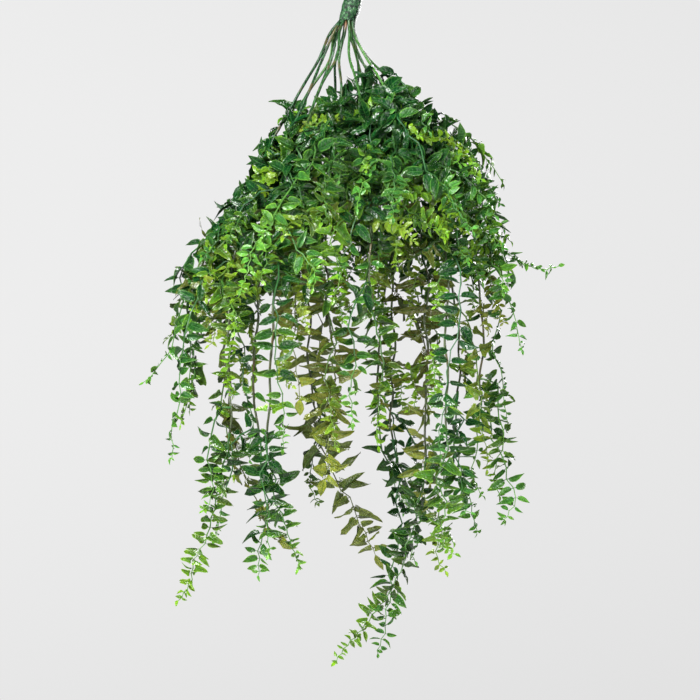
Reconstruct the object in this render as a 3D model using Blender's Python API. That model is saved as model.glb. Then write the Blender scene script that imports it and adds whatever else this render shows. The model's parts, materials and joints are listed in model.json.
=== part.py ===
"""Hanging fern spray: an artificial trailing plant that hangs by its bound trunk.

Fourteen plastic-coated wire stems stand round a core rod, and a tape wrap binds them into one trunk.
Below the wrap each stem arches outwards and then hangs down. It carries three moulded leaf sprays: one
on its shoulder, one on its hanging part and one on its end. A spray is one moulding, a thin rib with
leaves on both sides that shorten towards its tip.

Metres, +Z up. The origin is the middle of the trunk's upper end, where the bunch is held. +X is to the
right and -Y to the front. Azimuths are degrees anticlockwise from +X, seen from above.
"""

import math
from collections import namedtuple

import bmesh
import bpy
from mathutils import Quaternion, Vector
from mathutils.bvhtree import BVHTree

# The trunk: the wrap is a cup with its closed end up, and the stems fill it.
TRUNK_LENGTH = 0.064
TRUNK_LEAN = 0.010  # how far its lower end stands towards -X
WRAP_RADIUS = 0.0106
WRAP_WALL = 0.0010
WRAP_END = 0.0012  # thickness of the closed upper end
WRAP_SIDES = 18
GAP = 0.0003  # between pieces that touch

CORE_RADIUS = 0.0020
CORE_SIDES = 10
STEM_RADIUS = 0.0015
STEM_TIP_RADIUS = 0.0011
STEM_POINTS = 21
OUTER_RING = 0.0075
INNER_RING = 0.0041

# A moulded leaf spray.
RIB_HALF = 0.0007  # half of the rib's thickness at its root
RIB_TIP_HALF = 0.0003
PEG_LENGTH = 0.0030  # the rib's root stands this far off the stem before it turns
PAIR_SPACING = 0.023
LEAF_LENGTH = 0.031
LEAF_WIDTH = 0.017
LEAF_THICKNESS = 0.0008
LEAF_ROOT = 0.0050  # how much of the rib a leaf grows from
TIP_LEAF_SHARE = 0.30  # the last leaf's length, as a share of the first one's
LEAF_BROADEST = 0.38  # where along its length a leaf is widest
LEAF_RAKE = 0.42  # how far leaves slope towards the rib's tip
LEAF_DROOP = 0.10
LEAF_TURN = 33  # degrees that a pair of leaves is turned about the rib, each to the other side from the last
LEAF_ROLLS = (0, 25, -25, 50, -50)  # tried in turn beyond that, in degrees
# Leaves turn their upper sides outwards and upwards, and rather to the front or back than to the sides.
FACING_SHARE = 0.5
FACING_BACK = -0.06
FACING_LIFT = 0.35
PROBE_MARGIN = 0.15  # how much larger than a leaf the space is that it needs

STEM_SAMPLES = 60  # points of the smooth lines that stems and ribs are read from
RIB_SAMPLES = 40

DOWN = Vector((0, 0, -1))

# reach is how far the hanging part stands from the trunk, and drop how deep the wire ends.
Stem = namedtuple("Stem", "ring azimuth reach drop sway")
STEMS = {
    "01": Stem(OUTER_RING, 180, 0.173, 0.420, 8),
    "02": Stem(OUTER_RING, 210, 0.155, 0.535, -6),
    "03": Stem(OUTER_RING, 236, 0.150, 0.540, 5),
    "04": Stem(OUTER_RING, 283, 0.125, 0.390, -3),
    "05": Stem(OUTER_RING, 320, 0.145, 0.530, 6),
    "06": Stem(OUTER_RING, 0, 0.155, 0.490, -5),
    "07": Stem(OUTER_RING, 38, 0.165, 0.500, 7),
    "08": Stem(OUTER_RING, 75, 0.160, 0.530, -6),
    "09": Stem(OUTER_RING, 108, 0.155, 0.505, 6),
    "10": Stem(OUTER_RING, 144, 0.170, 0.500, -7),
    "11": Stem(INNER_RING, 190, 0.105, 0.540, 5),
    "12": Stem(INNER_RING, 245, 0.060, 0.420, -5),
    "13": Stem(INNER_RING, 340, 0.095, 0.565, 6),
    "14": Stem(INNER_RING, 40, 0.070, 0.547, -4),
}
# Where a stem passes: (share of its reach on the right of the bunch, on its left, depth). Below the last
# point it hangs to its drop.
STEM_FLARE = ((0.01, 0.08, 0.080), (0.12, 0.15, 0.109), (0.42, 0.31, 0.152), (0.76, 0.58, 0.235), (0.95, 0.90, 0.325))

# at is the share of the stem below the wrap where the rib starts. root and last are the rib's headings
# there and at its tip: (azimuth, degrees below the horizontal). An end spray carries its stem on.
# The tip is (right, back, depth).
Spray = namedtuple("Spray", "stem place at root last tip")
SPRAYS = (
    Spray("01", "shoulder", 0.44, (235, 55), (200, 75), (-0.160, -0.060, 0.355)),
    Spray("01", "hanging", 0.70, (180, 50), (180, 40), (-0.243, -0.020, 0.480)),
    Spray("01", "end", 1.00, None, (190, 80), (-0.201, -0.010, 0.529)),
    Spray("02", "shoulder", 0.36, (160, 55), (200, 70), (-0.172, -0.070, 0.340)),
    Spray("02", "hanging", 0.62, (190, 40), (180, 80), (-0.209, -0.060, 0.566)),
    Spray("02", "end", 1.00, None, (175, 60), (-0.199, -0.080, 0.723)),
    Spray("03", "shoulder", 0.26, (300, 35), (240, 75), (-0.126, -0.150, 0.378)),
    Spray("03", "hanging", 0.60, (270, 45), (250, 85), (-0.080, -0.150, 0.551)),
    Spray("03", "end", 1.00, None, (300, 80), (-0.064, -0.140, 0.682)),
    Spray("04", "shoulder", 0.20, (350, 35), (285, 80), (0.040, -0.165, 0.301)),
    Spray("04", "hanging", 0.55, (240, 40), (250, 80), (-0.025, -0.150, 0.388)),
    Spray("04", "end", 1.00, None, (290, 85), (0.024, -0.130, 0.549)),
    Spray("05", "shoulder", 0.22, (280, 35), (320, 55), (0.126, -0.156, 0.315)),
    Spray("05", "hanging", 0.60, (300, 40), (300, 85), (0.092, -0.130, 0.558)),
    Spray("05", "end", 1.00, None, (350, 30), (0.110, -0.100, 0.669)),
    Spray("06", "shoulder", 0.27, (280, 30), (0, -25), (0.231, -0.030, 0.347)),
    Spray("06", "hanging", 0.55, (355, 30), (0, 70), (0.188, -0.040, 0.443)),
    Spray("06", "end", 1.00, None, (190, 60), (0.169, -0.020, 0.638)),
    Spray("07", "shoulder", 0.20, (330, 30), (20, 60), (0.174, 0.070, 0.247)),
    Spray("07", "hanging", 0.60, (20, 40), (10, 80), (0.181, 0.090, 0.532)),
    Spray("07", "end", 1.00, None, (300, 75), (0.144, 0.095, 0.661)),
    Spray("08", "shoulder", 0.26, (0, 25), (60, 60), (0.110, 0.150, 0.220)),
    Spray("08", "hanging", 0.60, (40, 40), (60, 85), (0.103, 0.180, 0.504)),
    Spray("08", "end", 1.00, None, (0, 60), (0.118, 0.140, 0.676)),
    Spray("09", "shoulder", 0.26, (175, 30), (130, 60), (-0.086, 0.150, 0.250)),
    Spray("09", "hanging", 0.60, (100, 40), (90, 85), (-0.038, 0.180, 0.541)),
    Spray("09", "end", 1.00, None, (0, 70), (0.024, 0.130, 0.691)),
    Spray("10", "shoulder", 0.33, (200, 55), (160, 75), (-0.125, 0.100, 0.300)),
    Spray("10", "hanging", 0.55, (165, 35), (170, 60), (-0.225, 0.080, 0.431)),
    Spray("10", "end", 1.00, None, (10, 50), (-0.089, 0.090, 0.669)),
    Spray("11", "shoulder", 0.34, (260, 35), (210, 75), (-0.105, -0.090, 0.332)),
    Spray("11", "hanging", 0.60, (150, 45), (170, 85), (-0.123, 0.030, 0.571)),
    Spray("11", "end", 1.00, None, (190, 80), (-0.111, -0.040, 0.699)),
    Spray("12", "shoulder", 0.27, (262, 30), (255, 75), (-0.037, -0.165, 0.306)),
    Spray("12", "hanging", 0.55, (170, 45), (180, 85), (-0.064, -0.020, 0.500)),
    Spray("12", "end", 1.00, None, (290, 80), (-0.035, -0.070, 0.588)),
    Spray("13", "shoulder", 0.26, (30, 30), (335, 75), (0.126, -0.050, 0.345)),
    Spray("13", "hanging", 0.60, (20, 45), (0, 85), (0.147, -0.060, 0.578)),
    Spray("13", "end", 1.00, None, (205, 45), (-0.024, -0.060, 0.794)),
    Spray("14", "shoulder", 0.30, (110, 35), (60, 80), (0.077, 0.100, 0.335)),
    Spray("14", "hanging", 0.65, (330, 45), (0, 85), (0.080, 0.020, 0.617)),
    Spray("14", "end", 1.00, None, (200, 75), (0.025, -0.020, 0.790)),
)

# Name: (colour, roughness, metallic).
MATERIALS = {
    "green_tape": ((0.055, 0.135, 0.060), 0.55, 0.0),
    "steel_core": ((0.45, 0.45, 0.46), 0.35, 1.0),
    "coated_stem": ((0.060, 0.150, 0.045), 0.45, 0.0),
    "leaf_plastic": ((0.050, 0.160, 0.035), 0.38, 0.0),
}


def clear_scene():
    for obj in list(bpy.data.objects):
        bpy.data.objects.remove(obj)


def material(name):
    found = bpy.data.materials.get(name)
    if found:
        return found
    colour, roughness, metallic = MATERIALS[name]
    made = bpy.data.materials.new(name)
    made.use_nodes = True
    made.diffuse_color = (*colour, 1)
    shader = made.node_tree.nodes["Principled BSDF"]
    shader.inputs["Base Color"].default_value = (*colour, 1)
    shader.inputs["Roughness"].default_value = roughness
    shader.inputs["Metallic"].default_value = metallic
    return made


def add_object(name, data, material_name):
    obj = bpy.data.objects.new(name, data)
    bpy.context.collection.objects.link(obj)
    data.materials.append(material(material_name))
    return obj


def heading(azimuth, pitch):
    """Unit vector at this azimuth, pitch degrees below the horizontal."""
    turn, dip = math.radians(azimuth), math.radians(pitch)
    return Vector((math.cos(turn) * math.cos(dip), math.sin(turn) * math.cos(dip), -math.sin(dip)))


def trunk_axis(depth):
    """Centre of the trunk at this depth below its upper end. It bends more and more to the left."""
    share = min(depth / TRUNK_LENGTH, 1)
    return Vector((-TRUNK_LEAN * share**2, 0, -depth))


def spline_point(points, span, share):
    """Catmull-Rom point within one span of a list of points."""
    before = points[max(span - 1, 0)]
    start, end = points[span], points[span + 1]
    after = points[min(span + 2, len(points) - 1)]
    return (
        start
        + (end - before) * (share / 2)
        + (before - start * 2.5 + end * 2 - after / 2) * share**2
        + (start * 1.5 - before / 2 - end * 1.5 + after / 2) * share**3
    )


def evenly_spaced(points, count, fineness=40):
    """count points at equal distances along the smooth curve through the given points."""
    fine = [spline_point(points, span, i / fineness) for span in range(len(points) - 1) for i in range(fineness)]
    fine.append(points[-1])
    travelled = [0.0]
    for a, b in zip(fine, fine[1:]):
        travelled.append(travelled[-1] + (b - a).length)
    made, at = [], 0
    for i in range(count):
        wanted = travelled[-1] * i / (count - 1)
        while at < len(fine) - 2 and travelled[at + 1] < wanted:
            at += 1
        step = travelled[at + 1] - travelled[at]
        share = (wanted - travelled[at]) / step if step else 0
        made.append(fine[at].lerp(fine[at + 1], min(share, 1)))
    return made


def stem_below_wrap(stem):
    """The part of a stem that shows, from the wrap's mouth to its end."""
    out = heading(stem.azimuth, 0)
    side = Vector((-out.y, out.x, 0))
    sway = stem.sway / 1000
    leftness = (1 - out.x) / 2
    route = [trunk_axis(TRUNK_LENGTH) + out * stem.ring]
    for i, (right, left, depth) in enumerate(STEM_FLARE):
        share = right + (left - right) * leftness
        reach = stem.ring + (stem.reach - stem.ring) * share
        wobble = side * (sway * math.sin(1.9 * i))
        route.append(trunk_axis(depth) + out * reach + wobble)
    flared = STEM_FLARE[-1][2]
    for i, share in enumerate((0.45, 1.0)):
        wobble = side * (sway * math.sin(1.9 * (i + len(STEM_FLARE))))
        route.append(trunk_axis(flared + (stem.drop - flared) * share) + out * stem.reach + wobble)
    return evenly_spaced(route, STEM_SAMPLES)


def stem_route(stem):
    """A whole stem: straight down through the wrap, then along its arch."""
    offset = heading(stem.azimuth, 0) * stem.ring
    depths = (WRAP_END + GAP, 0.4 * TRUNK_LENGTH, 0.75 * TRUNK_LENGTH)
    inside = [trunk_axis(depth) + offset for depth in depths]
    return inside + evenly_spaced(stem_below_wrap(stem), STEM_POINTS - len(inside))


def stem_radius(share):
    return STEM_RADIUS + (STEM_TIP_RADIUS - STEM_RADIUS) * share


def spray_route(spray):
    """The rib's centreline: off the stem for a peg's length, then one smooth sweep to its tip."""
    below = stem_below_wrap(STEMS[spray.stem])
    at = spray.at * (len(below) - 1)
    index = min(int(at), len(below) - 2)
    along = (below[index + 1] - below[index]).normalized()
    foot = below[index].lerp(below[index + 1], at - index)
    if spray.root:
        aim = heading(*spray.root)
        off = (aim - along * aim.dot(along)).normalized()
        foot += off * (stem_radius(spray.at) + GAP)
    else:
        aim = off = along
        foot += off * GAP
    peg = foot + off * PEG_LENGTH
    right, back, depth = spray.tip
    tip = Vector((right, back, -depth))
    pull = (tip - peg).length
    start, end = (off + aim * 2).normalized() * pull, heading(*spray.last) * pull
    route = [foot, peg]
    for i in range(1, RIB_SAMPLES - 1):
        t = i / (RIB_SAMPLES - 2)
        route.append(
            peg * (1 - 3 * t**2 + 2 * t**3)
            + start * (t - 2 * t**2 + t**3)
            + tip * (3 * t**2 - 2 * t**3)
            + end * (t**3 - t**2)
        )
    return route


def tube_object(name, route, radii, material_name):
    """A wire: a curve with a round bevel and filled ends."""
    curve = bpy.data.curves.new(name, "CURVE")
    curve.dimensions = "3D"
    curve.bevel_depth = 1.0
    curve.bevel_resolution = 1
    curve.use_fill_caps = True
    line = curve.splines.new("POLY")
    line.points.add(len(route) - 1)
    for point, place, radius in zip(line.points, route, radii):
        point.co = (*place, 1)
        point.radius = radius
    return add_object(name, curve, material_name)


def make_stems():
    for label, stem in STEMS.items():
        route = stem_route(stem)
        radii = [stem_radius(i / (len(route) - 1)) for i in range(len(route))]
        tube_object(f"stem_{label}", route, radii, "coated_stem")


def ring_of(bm, centre, radius, sides):
    return [
        bm.verts.new(centre + Vector((math.cos(t), math.sin(t), 0)) * radius)
        for t in (math.tau * i / sides for i in range(sides))
    ]


def loft(bm, rings):
    """Joins each ring of points to the next with a band of faces."""
    for a, b in zip(rings, rings[1:]):
        for i in range(len(a)):
            j = (i + 1) % len(a)
            bm.faces.new((a[i], b[i], b[j], a[j]))


def finished(bm, name, material_name):
    bmesh.ops.recalc_face_normals(bm, faces=bm.faces)
    mesh = bpy.data.meshes.new(name)
    bm.to_mesh(mesh)
    bm.free()
    mesh.shade_smooth()
    mesh.set_sharp_from_angle(angle=math.radians(40))
    return add_object(name, mesh, material_name)


def make_wrap():
    """The tape wrap: a cup round the stems, wider where the tape is bound twice at its mouth."""
    outline = (
        (0.000, WRAP_RADIUS - 0.0012),
        (0.002, WRAP_RADIUS),
        (0.022, WRAP_RADIUS - 0.0003),
        (0.040, WRAP_RADIUS),
        (0.046, WRAP_RADIUS + 0.0007),
        (TRUNK_LENGTH - 0.006, WRAP_RADIUS + 0.0008),
        (TRUNK_LENGTH, WRAP_RADIUS + 0.0002),
    )
    bm = bmesh.new()
    outside = [ring_of(bm, trunk_axis(depth), radius, WRAP_SIDES) for depth, radius in outline]
    bore = WRAP_RADIUS - WRAP_WALL
    depths = (TRUNK_LENGTH, 0.75 * TRUNK_LENGTH, 0.4 * TRUNK_LENGTH, WRAP_END)
    inside = [ring_of(bm, trunk_axis(depth), bore, WRAP_SIDES) for depth in depths]
    loft(bm, outside + inside)
    bm.faces.new(outside[0])
    bm.faces.new(reversed(inside[-1]))
    return finished(bm, "tape_wrap", "green_tape")


def make_core():
    """The rod that the stems stand round."""
    bm = bmesh.new()
    depths = (WRAP_END + GAP, 0.4 * TRUNK_LENGTH, 0.75 * TRUNK_LENGTH, TRUNK_LENGTH)
    rings = [ring_of(bm, trunk_axis(depth), CORE_RADIUS, CORE_SIDES) for depth in depths]
    loft(bm, rings)
    bm.faces.new(rings[0])
    bm.faces.new(reversed(rings[-1]))
    return finished(bm, "core_rod", "steel_core")


def spray_frames(route):
    """At each point of a rib: the way along it, the way across to its leaves, and the leaves' upper side."""
    frames = []
    for i, place in enumerate(route):
        along = (route[min(i + 1, len(route) - 1)] - route[max(i - 1, 0)]).normalized()
        outward = Vector((FACING_SHARE * (place.x + TRUNK_LEAN), place.y + FACING_BACK, 0)).normalized()
        outward.z = FACING_LIFT
        across = along.cross(outward).normalized()
        frames.append((along, across, across.cross(along)))
    return frames


def leaf_points(root, along, out, length):
    """A leaf's broadest place, the way from there to its edge, and its tip, which droops."""
    middle = root + out * (LEAF_BROADEST * length)
    edge = (along - out * along.dot(out)).normalized() * (LEAF_WIDTH / 2 * length / LEAF_LENGTH)
    return middle, edge, root + out * length + DOWN * (LEAF_DROOP * length)


def leaf_probe(corners, middle, edge, tip):
    """A slightly larger flat stand-in for a leaf, used to see whether it would meet anything."""
    wider = edge * (1 + PROBE_MARGIN)
    beyond = tip + (tip - middle) * (PROBE_MARGIN / 2)
    points = [tuple(p) for p in (*corners, middle - wider, middle + wider, beyond)]
    return BVHTree.FromPolygons(points, [(0, 1, 5, 4), (3, 2, 5, 4), (4, 5, 6)])


def grow_leaf(bm, face, along, across, up, length, turned, obstacles):
    """Draws a leaf out of one side face of the rib, at the first roll where it meets no other piece."""
    root = face.calc_center_median()
    corners = [v.co.copy() for v in face.verts]
    for roll in LEAF_ROLLS:
        turn = Quaternion(along, math.radians(turned + roll))
        lifted = turn @ up
        out = (turn @ across + along * LEAF_RAKE).normalized()
        middle, edge, tip = leaf_points(root, along, out, length)
        probe = leaf_probe(corners, middle, edge, tip)
        if not any(probe.overlap(tree) for tree in obstacles):
            break
    else:
        return
    extruded = bmesh.ops.extrude_discrete_faces(bm, faces=[face])["faces"][0]
    for vert in extruded.verts:
        offset = vert.co - root
        ahead = 1 if offset.dot(along) > 0 else -1
        above = 1 if offset.dot(up) > 0 else -1
        vert.co = middle + edge * ahead + lifted * (above * LEAF_THICKNESS / 2)
    last = bmesh.ops.extrude_discrete_faces(bm, faces=[extruded])["faces"][0]
    bmesh.ops.pointmerge(bm, verts=last.verts, merge_co=tip)


def rib_steps(length):
    """Shares of the rib's length for its rings: bare, leaf, bare, leaf, and so on to the tip."""
    pairs = max(3, round(length / PAIR_SPACING))
    shares = [0.0, PEG_LENGTH / length]
    for i in range(pairs):
        middle = (i + 0.75) / (pairs + 0.25)
        half = LEAF_ROOT / 2 * (1 - 0.6 * i / pairs) / length
        shares += [middle - half, middle + half]
    return shares + [1.0]


def make_rib(spray):
    """The square rib of a spray, with its rings and their frames."""
    fine = spray_route(spray)
    shares = rib_steps(sum((b - a).length for a, b in zip(fine, fine[1:])))
    route = []
    for share in shares:
        at = share * (len(fine) - 1)
        index = min(int(at), len(fine) - 2)
        route.append(fine[index].lerp(fine[index + 1], at - index))
    frames = spray_frames(route)
    bm = bmesh.new()
    rings = []
    for share, place, (along, across, up) in zip(shares, route, frames):
        half = RIB_HALF + (RIB_TIP_HALF - RIB_HALF) * share
        corners = ((-1, -1), (1, -1), (1, 1), (-1, 1))
        rings.append([bm.verts.new(place + across * (half * x) + up * (half * y)) for x, y in corners])
    loft(bm, rings)
    bm.faces.new(rings[0])
    bm.faces.new(reversed(rings[-1]))
    bmesh.ops.recalc_face_normals(bm, faces=bm.faces)
    return bm, rings, frames


def add_leaves(bm, rings, frames, obstacles):
    """Grows a pair of leaves on every other step of the rib, shorter towards the tip."""
    steps = range(2, len(rings) - 1, 2)
    for pair, first in enumerate(steps):
        along, across, up = frames[first]
        length = LEAF_LENGTH * (1 + (TIP_LEAF_SHARE - 1) * pair / (len(steps) - 1))
        corners = set(rings[first] + rings[first + 1])
        for side in (-1, 1):
            faces = [face for face in rings[first][0].link_faces if set(face.verts) <= corners]
            faces += [face for face in rings[first][2].link_faces if set(face.verts) <= corners]
            face = max(faces, key=lambda f: side * f.normal.dot(across))
            grow_leaf(bm, face, along, across * side, up, length, LEAF_TURN * (-1) ** pair, obstacles)


def make_sprays():
    """All ribs come first, then the leaves, so that no leaf is grown into a rib, a stem or another leaf."""
    graph = bpy.context.evaluated_depsgraph_get()
    fixed = [BVHTree.FromObject(obj, graph) for obj in bpy.context.collection.objects]
    ribs = [make_rib(spray) for spray in SPRAYS]
    trees = [BVHTree.FromBMesh(bm) for bm, rings, frames in ribs]
    for i, (spray, (bm, rings, frames)) in enumerate(zip(SPRAYS, ribs)):
        add_leaves(bm, rings, frames, fixed + trees[:i] + trees[i + 1 :])
        trees[i] = BVHTree.FromBMesh(bm)
        finished(bm, f"spray_{spray.stem}_{spray.place}", "leaf_plastic")


def main():
    clear_scene()
    make_core()
    make_wrap()
    make_stems()
    make_sprays()


main()
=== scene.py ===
"""Hanging fern spray: the detailed look of an artificial trailing plant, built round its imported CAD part.

The wire stems, the tape that binds them and the moulded leaf sprays are modelled piece by piece. Every leaf
is a thin closed moulding with an upper and an under side, copied from a few shaped leaves of each kind.

Metres, +Z up. The origin is the middle of the trunk's upper end. +X is to the right and -Y to the front.
Azimuths are degrees anticlockwise from +X, seen from above.
"""

import json
import math
import random
from collections import namedtuple

import bmesh
import bpy
from bpy.props import FloatProperty, FloatVectorProperty, PointerProperty
from mathutils import Matrix, Quaternion, Vector, noise

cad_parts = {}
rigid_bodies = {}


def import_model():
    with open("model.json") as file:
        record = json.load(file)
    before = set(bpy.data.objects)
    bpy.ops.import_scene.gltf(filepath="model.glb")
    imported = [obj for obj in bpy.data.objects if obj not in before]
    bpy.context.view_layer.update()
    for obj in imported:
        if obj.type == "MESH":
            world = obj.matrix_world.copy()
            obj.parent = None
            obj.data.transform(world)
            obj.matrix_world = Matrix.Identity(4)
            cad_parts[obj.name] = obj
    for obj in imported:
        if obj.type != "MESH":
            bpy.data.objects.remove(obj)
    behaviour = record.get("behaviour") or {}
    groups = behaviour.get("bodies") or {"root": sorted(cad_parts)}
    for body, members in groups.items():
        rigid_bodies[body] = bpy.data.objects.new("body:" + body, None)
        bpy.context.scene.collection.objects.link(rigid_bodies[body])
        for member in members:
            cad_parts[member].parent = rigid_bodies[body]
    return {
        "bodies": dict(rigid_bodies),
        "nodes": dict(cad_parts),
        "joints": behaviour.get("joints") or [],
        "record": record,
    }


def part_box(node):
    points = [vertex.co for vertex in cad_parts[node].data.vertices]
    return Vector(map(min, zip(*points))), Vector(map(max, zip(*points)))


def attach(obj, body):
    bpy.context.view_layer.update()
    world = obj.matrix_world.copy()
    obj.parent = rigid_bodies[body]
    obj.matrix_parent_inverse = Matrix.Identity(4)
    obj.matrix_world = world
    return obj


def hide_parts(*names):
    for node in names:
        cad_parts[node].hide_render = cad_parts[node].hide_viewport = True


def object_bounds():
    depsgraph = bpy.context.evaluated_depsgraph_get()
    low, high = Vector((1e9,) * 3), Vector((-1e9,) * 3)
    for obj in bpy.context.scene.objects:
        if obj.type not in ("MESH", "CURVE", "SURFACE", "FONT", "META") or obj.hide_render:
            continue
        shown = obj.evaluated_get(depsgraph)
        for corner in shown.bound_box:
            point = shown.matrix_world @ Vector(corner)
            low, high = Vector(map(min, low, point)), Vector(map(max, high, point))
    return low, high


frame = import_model()
CAD_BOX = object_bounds()

bl_info = {
    "name": "Hanging fern spray",
    "version": (1, 0, 0),
    "blender": (4, 5, 0),
    "location": "3D View > Sidebar > Fern spray",
    "description": "Builds an artificial hanging fern spray: bound trunk, wire stems and leaf sprays",
    "category": "Add Mesh",
}

DOWN = Vector((0, 0, -1))
TRUNK_LENGTH = -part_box("tape_wrap")[0].z
TRUNK_LEAN = 0.010  # how far its lower end stands towards -X
WRAP_RADIUS = 0.0106
WRAP_BORE = 0.0094
WRAP_END = 0.0012  # thickness of the wrap's closed upper end
GAP = 0.0003  # between a wire's end and what it meets
STEM_RADIUS = 0.0015
STEM_TIP_RADIUS = 0.0011
OUTER_RING = 0.0075  # how far the outer wires stand from the trunk's centre
INNER_RING = 0.0041
PEG_LENGTH = 0.0030  # a rib's root stands this far off its stem before it turns
STEM_SAMPLES = 60
RIB_SAMPLES = 40
RIB_STRAY = 0.015  # how far a rib may wander off its sweep
RIB_WAVE = 0.034  # length of one of its wanderings
WIRE_KINK = 0.0065  # how far a wire may wander off its route, below where the wires fan out
WIRE_SLEEVE = 0.014  # length of the thicker part of a wire below the wrap's mouth
SLEEVE_SWELL = 0.28  # how much thicker that is at its upper end, as a share
WIRE_STEP = 0.004  # between a wire's rings
KNOTS = 5  # small lumps on each wire
KNOT_SWELL = 1.25
FIRST_KNOT = 25  # the first ring that may be one
RIB_SLEEVE = ((0.0, 0.0017), (0.002, 0.0016), (0.005, 0.0011))  # a rib's first rings: (distance, radius)
RIB_RADIUS = 0.00105  # below its sleeve
RIB_THINNING = 0.00060  # how much slimmer it is at its tip
RIB_TIP_RADIUS = 0.0003

# reach is how far the hanging part stands from the trunk, drop how deep the wire ends, and sway how far it
# swings to its sides, in millimetres. kind is what grows on the wire itself.
Stem = namedtuple("Stem", "ring azimuth reach drop sway kind")
STEMS = {
    "01": Stem(OUTER_RING, 180, 0.173, 0.420, 8, "ovate"),
    "02": Stem(OUTER_RING, 210, 0.155, 0.535, -6, "ivy"),
    "03": Stem(OUTER_RING, 236, 0.150, 0.540, 5, "ivy"),
    "04": Stem(OUTER_RING, 283, 0.125, 0.390, -3, "ovate"),
    "05": Stem(OUTER_RING, 320, 0.145, 0.530, 6, "ivy"),
    "06": Stem(OUTER_RING, 0, 0.155, 0.490, -5, "ovate"),
    "07": Stem(OUTER_RING, 38, 0.165, 0.500, 7, "ivy"),
    "08": Stem(OUTER_RING, 75, 0.160, 0.530, -6, "ovate"),
    "09": Stem(OUTER_RING, 108, 0.155, 0.505, 6, "olive"),
    "10": Stem(OUTER_RING, 144, 0.170, 0.500, -7, "ovate"),
    "11": Stem(INNER_RING, 190, 0.105, 0.540, 5, "ovate"),
    "12": Stem(INNER_RING, 245, 0.060, 0.420, -5, "olive"),
    "13": Stem(INNER_RING, 340, 0.095, 0.565, 6, "olive"),
    "14": Stem(INNER_RING, 40, 0.070, 0.547, -4, "olive"),
}
# Where a stem passes: (share of its reach on the right of the bunch, on its left, depth). Below the last
# point it hangs to its drop.
STEM_FLARE = (
    (0.01, 0.08, 0.080), (0.12, 0.15, 0.109), (0.42, 0.31, 0.152), (0.76, 0.58, 0.235), (0.95, 0.90, 0.325)
)

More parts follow.
